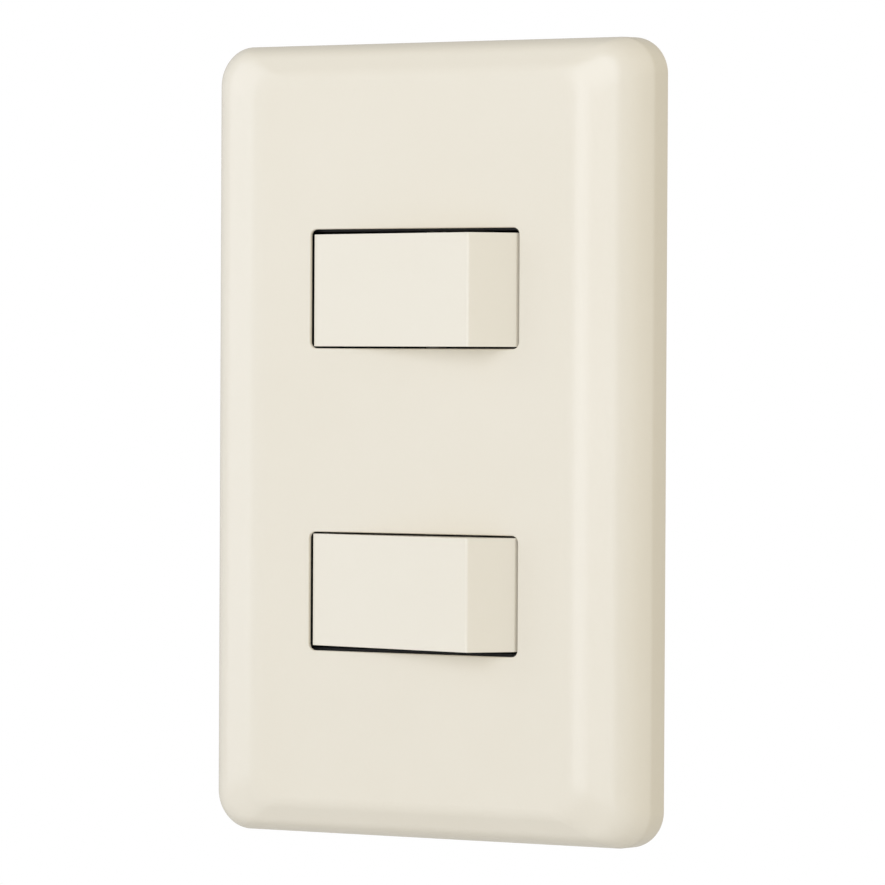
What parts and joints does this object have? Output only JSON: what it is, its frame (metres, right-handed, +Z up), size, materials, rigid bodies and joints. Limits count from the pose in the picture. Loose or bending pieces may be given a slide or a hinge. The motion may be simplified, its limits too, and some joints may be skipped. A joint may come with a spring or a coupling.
{
  "type": "two-gang rocker wall switch",
  "caption": "Ivory screwless wall plate with two wide rocker keys one above the other, on a support frame with two single-pole switch modules behind it.",
  "frame": {"origin": "middle of the support frame's back face, in the wall's plane, on the solid web between the two modules", "axes": "+X across the wall to the right, +Y into the wall, +Z up along the plate's long side"},
  "size_m": [0.073, 0.0383, 0.119],
  "materials": {
    "ivory_plate": "smooth semi-gloss ivory",
    "ivory_rocker": "smooth semi-gloss ivory",
    "white_acetal": "natural white acetal",
    "black_plastic": "fine matt black",
    "grey_nylon": "matt dark grey nylon",
    "zinc_steel": "zinc plated",
    "spring_steel": "drawn wire",
    "brass": "stamped brass",
    "contact_silver": "silver alloy"
  },
  "bodies": {
    "housing": {"cover_plate": "ivory_plate", "support_frame": "grey_nylon", "box_screw_top": "zinc_steel", "box_screw_bottom": "zinc_steel", "upper_rocker_housing": "black_plastic", "upper_rear_casing": "black_plastic", "upper_fixed_contact": "contact_silver", "upper_common_strip": "brass", "upper_load_strip": "brass", "upper_common_clamp": "brass", "upper_load_clamp": "brass", "upper_common_screw": "zinc_steel", "upper_load_screw": "zinc_steel", "lower_rocker_housing": "black_plastic", "lower_rear_casing": "black_plastic", "lower_fixed_contact": "contact_silver", "lower_common_strip": "brass", "lower_load_strip": "brass", "lower_common_clamp": "brass", "lower_load_clamp": "brass", "lower_common_screw": "zinc_steel", "lower_load_screw": "zinc_steel"},
    "upper_rocker_key": {"upper_rocker": "ivory_rocker", "upper_plunger_spring": "spring_steel"},
    "upper_plunger_pin": {"upper_plunger": "white_acetal"},
    "upper_see_saw": {"upper_contact_arm": "brass", "upper_moving_contact": "contact_silver"},
    "lower_rocker_key": {"lower_rocker": "ivory_rocker", "lower_plunger_spring": "spring_steel"},
    "lower_plunger_pin": {"lower_plunger": "white_acetal"},
    "lower_see_saw": {"lower_contact_arm": "brass", "lower_moving_contact": "contact_silver"}
  },
  "joints": [
    {"name": "upper_rocker_tilt", "type": "hinge", "parent": "housing", "child": "upper_rocker_key", "pos_m": [0, -0.003, 0.02235], "axis": [0, 0, 1], "range_deg": [0, 20]},
    {"name": "upper_plunger_slide", "type": "slide", "parent": "upper_rocker_key", "child": "upper_plunger_pin", "axis": [-0.1736, -0.9848, 0], "range_m": [0, 0.0012], "stiffness_N_per_m": 400, "springref_m": -0.002, "deforming": ["upper_plunger_spring"]},
    {"name": "upper_see_saw_tilt", "type": "hinge", "parent": "housing", "child": "upper_see_saw", "pos_m": [0, 0.0105, 0.02235], "axis": [0, 0, 1], "range_deg": [-12, 0]},
    {"name": "lower_rocker_tilt", "type": "hinge", "parent": "housing", "child": "lower_rocker_key", "pos_m": [0, -0.003, -0.02235], "axis": [0, 0, 1], "range_deg": [0, 20]},
    {"name": "lower_plunger_slide", "type": "slide", "parent": "lower_rocker_key", "child": "lower_plunger_pin", "axis": [-0.1736, -0.9848, 0], "range_m": [0, 0.0012], "stiffness_N_per_m": 400, "springref_m": -0.002, "deforming": ["lower_plunger_spring"]},
    {"name": "lower_see_saw_tilt", "type": "hinge", "parent": "housing", "child": "lower_see_saw", "pos_m": [0, 0.0105, -0.02235], "axis": [0, 0, 1], "range_deg": [-12, 0]}
  ],
  "couplings": [
    {"joint": "upper_see_saw_tilt", "follows": "upper_rocker_tilt", "ratio": -0.6},
    {"joint": "lower_see_saw_tilt", "follows": "lower_rocker_tilt", "ratio": -0.6}
  ]
}
